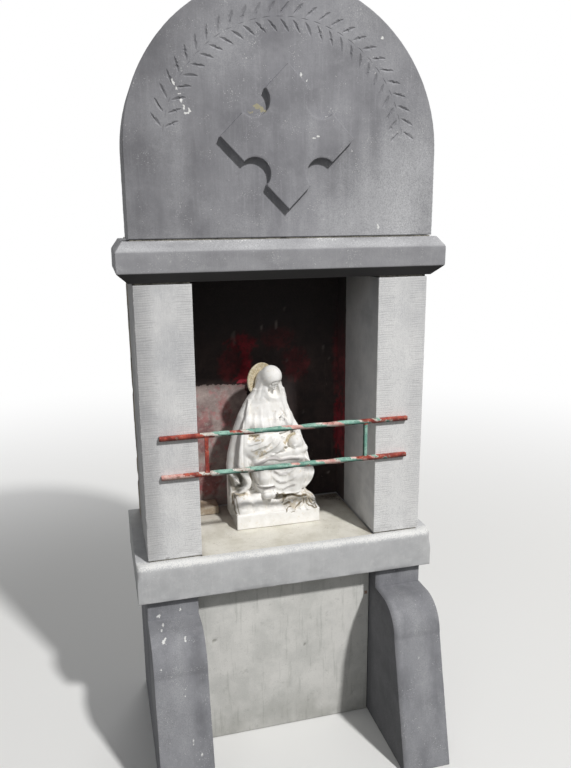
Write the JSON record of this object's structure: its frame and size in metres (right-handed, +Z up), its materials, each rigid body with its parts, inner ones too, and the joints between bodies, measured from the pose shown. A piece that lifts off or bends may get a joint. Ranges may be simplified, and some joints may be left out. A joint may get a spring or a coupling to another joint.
{
  "type": "wayside shrine",
  "caption": "Stone wayside shrine: round-headed slab with a raised cross over a niche with a seated figure behind a barred guard, on two bracket legs.",
  "frame": {"origin": "on the ground, at the middle of the overall width and depth", "axes": "+X to the viewer's right, +Y into the shrine from its open front, +Z up"},
  "size_m": [0.902, 0.65, 2.1705],
  "materials": {
    "blue_stone": "honed, weathered",
    "tooled_stone": "tooled",
    "panel_stone": "sawn, weathered",
    "rubble_masonry": "rough",
    "mortar": "rough",
    "niche_render": "rough, sooty",
    "screed": "floated",
    "guard_iron": "flaking gloss paint",
    "figure_cast": "limewashed",
    "halo_cast": "faded paint",
    "tile": "unglazed"
  },
  "bodies": {
    "root": {"tympanum": "blue_stone", "cornice": "blue_stone", "rear_lintel": "rubble_masonry", "jamb_left": "tooled_stone", "jamb_right": "tooled_stone", "cheek_left": "niche_render", "cheek_right": "niche_render", "niche_back": "niche_render", "niche_floor": "screed", "sill": "blue_stone", "bracket_left": "blue_stone", "bracket_right": "blue_stone", "inscription_panel": "panel_stone", "base_core": "rubble_masonry", "bed_tympanum": "mortar", "bed_jamb_left_foot": "mortar", "bed_jamb_right_foot": "mortar", "bed_jamb_left_top": "mortar", "bed_jamb_right_top": "mortar", "bed_bracket_left": "mortar", "bed_bracket_right": "mortar", "guard_bar_upper": "guard_iron", "guard_bar_lower": "guard_iron", "guard_upright_left": "guard_iron", "guard_upright_right": "guard_iron", "figure": "figure_cast", "figure_halo": "halo_cast", "child_halo": "halo_cast", "loose_tile": "tile"}
  },
  "joints": []
}
